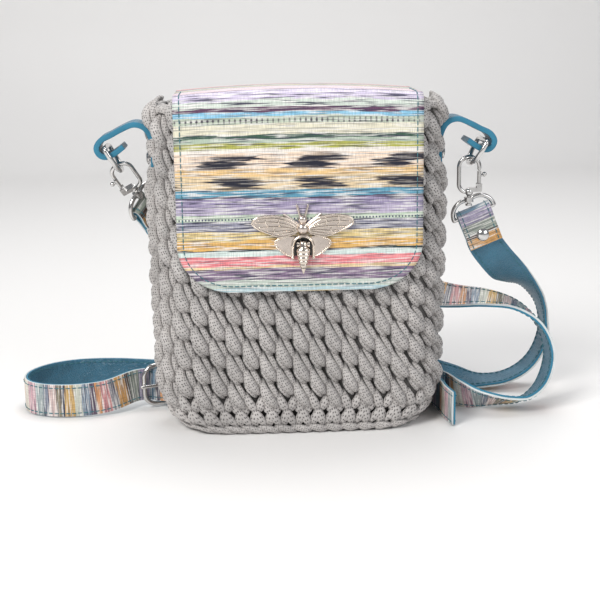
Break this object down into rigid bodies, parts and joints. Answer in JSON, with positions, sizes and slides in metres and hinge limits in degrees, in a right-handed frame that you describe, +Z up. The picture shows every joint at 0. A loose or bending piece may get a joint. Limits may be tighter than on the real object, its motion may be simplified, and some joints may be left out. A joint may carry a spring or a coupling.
{
  "type": "miniature carry case",
  "caption": "Miniature crocheted cord carry case with a printed flap, bee twist clasp, side tabs and a buckled clip-on strap.",
  "frame": {"origin": "centre of the bag's underside, on the surface it stands on", "axes": "+Z up, -Y out of the front that carries the flap and the bee clasp, +X to the right seen from the front"},
  "size_m": [0.3424, 0.1111, 0.203],
  "materials": {
    "cord": "light warm grey knitted cord",
    "lining": "grey twill lining",
    "board": "base stiffener",
    "flap_print": "printed stripes on grained leatherette",
    "flap_lining": "pale blue backing",
    "strap_print": "printed stripes on grained leatherette",
    "leather": "teal pebbled leather",
    "silver": "bright nickel plate",
    "black_inset": "black lacquer"
  },
  "bodies": {
    "bag": {"crochet_wall": "cord", "crochet_base": "cord", "rim_chain": "cord", "lining_bag": "lining", "base_board": "board", "flap_rear_lining": "flap_lining", "flap_rear_print": "flap_print", "clasp_keeper": "silver", "keeper_washer": "silver", "buckle_frame": "silver", "buckle_strap_leather": "leather", "buckle_strap_print": "strap_print", "long_strap_leather": "leather", "long_strap_print": "strap_print", "strap_rivet_buckle": "silver", "tab_right": "leather", "tab_screw_right": "silver", "swivel_loop_right": "silver", "strap_rivet_right": "silver", "tab_left": "leather", "tab_screw_left": "silver", "swivel_loop_left": "silver", "strap_rivet_left": "silver"},
    "flap_top": {"flap_top_lining": "flap_lining", "flap_top_print": "flap_print"},
    "flap_front": {"flap_front_lining": "flap_lining", "flap_front_print": "flap_print", "bee_frame": "silver", "clasp_inset": "black_inset", "tongue_lugs": "silver", "tongue_pin": "silver", "bee_rivets": "silver", "bee_back_plate": "silver"},
    "tongue": {"bee_tongue": "silver"},
    "prong": {"buckle_prong": "silver"},
    "keeper": {"strap_keeper": "leather"},
    "ring_right": {"d_ring_right": "silver"},
    "hook_right": {"hook_body_right": "silver", "gate_pin_right": "silver"},
    "gate_right": {"hook_gate_right": "silver"},
    "ring_left": {"d_ring_left": "silver"},
    "hook_left": {"hook_body_left": "silver", "gate_pin_left": "silver"},
    "gate_left": {"hook_gate_left": "silver"}
  },
  "joints": [
    {"name": "flap_open", "type": "hinge", "parent": "bag", "child": "flap_top", "pos_m": [0, 0.027, 0.1965], "axis": [-1, 0, 0], "range_deg": [0, 88]},
    {"name": "flap_lift", "type": "hinge", "parent": "flap_top", "child": "flap_front", "pos_m": [0, -0.027, 0.1965], "axis": [-1, 0, 0], "range_deg": [0, 88]},
    {"name": "tongue_flip", "type": "hinge", "parent": "flap_front", "child": "tongue", "pos_m": [0.0012, -0.0379, 0.1174], "axis": [-1, 0, 0], "range_deg": [0, 85]},
    {"name": "prong_lift", "type": "hinge", "parent": "bag", "child": "prong", "pos_m": [-0.083, 0.031, 0.015], "axis": [0, 0, 1], "range_deg": [0, 8]},
    {"name": "keeper_slide", "type": "slide", "parent": "bag", "child": "keeper", "axis": [1, 0, 0], "range_m": [-0.003, 0.003]},
    {"name": "ring_swing_right", "type": "hinge", "parent": "bag", "child": "ring_right", "pos_m": [0.113, 0, 0.172], "axis": [0, 1, 0], "range_deg": [0, 5]},
    {"name": "hook_swivel_right", "type": "hinge", "parent": "bag", "child": "hook_right", "pos_m": [0.10475, 0, 0.15771], "axis": [0, 0, 1], "range_deg": [-20, 20]},
    {"name": "gate_right_open", "type": "hinge", "parent": "hook_right", "child": "gate_right", "pos_m": [0.11095, 0, 0.14411], "axis": [0, -1, 0], "range_deg": [0, 18], "stiffness_Nm_per_rad": 0.004, "springref_deg": -20.05},
    {"name": "ring_swing_left", "type": "hinge", "parent": "bag", "child": "ring_left", "pos_m": [-0.113, 0, 0.172], "axis": [0, -1, 0], "range_deg": [0, 5]},
    {"name": "hook_swivel_left", "type": "hinge", "parent": "bag", "child": "hook_left", "pos_m": [-0.10514, -0.00055, 0.15845], "axis": [-0.3896, -0.5494, 0.7392], "range_deg": [-20, 20]},
    {"name": "gate_left_open", "type": "hinge", "parent": "hook_left", "child": "gate_left", "pos_m": [-0.10533, 0.00692, 0.14551], "axis": [-0.2562, 0.8356, 0.486], "range_deg": [0, 18], "stiffness_Nm_per_rad": 0.004, "springref_deg": -20.05}
  ]
}
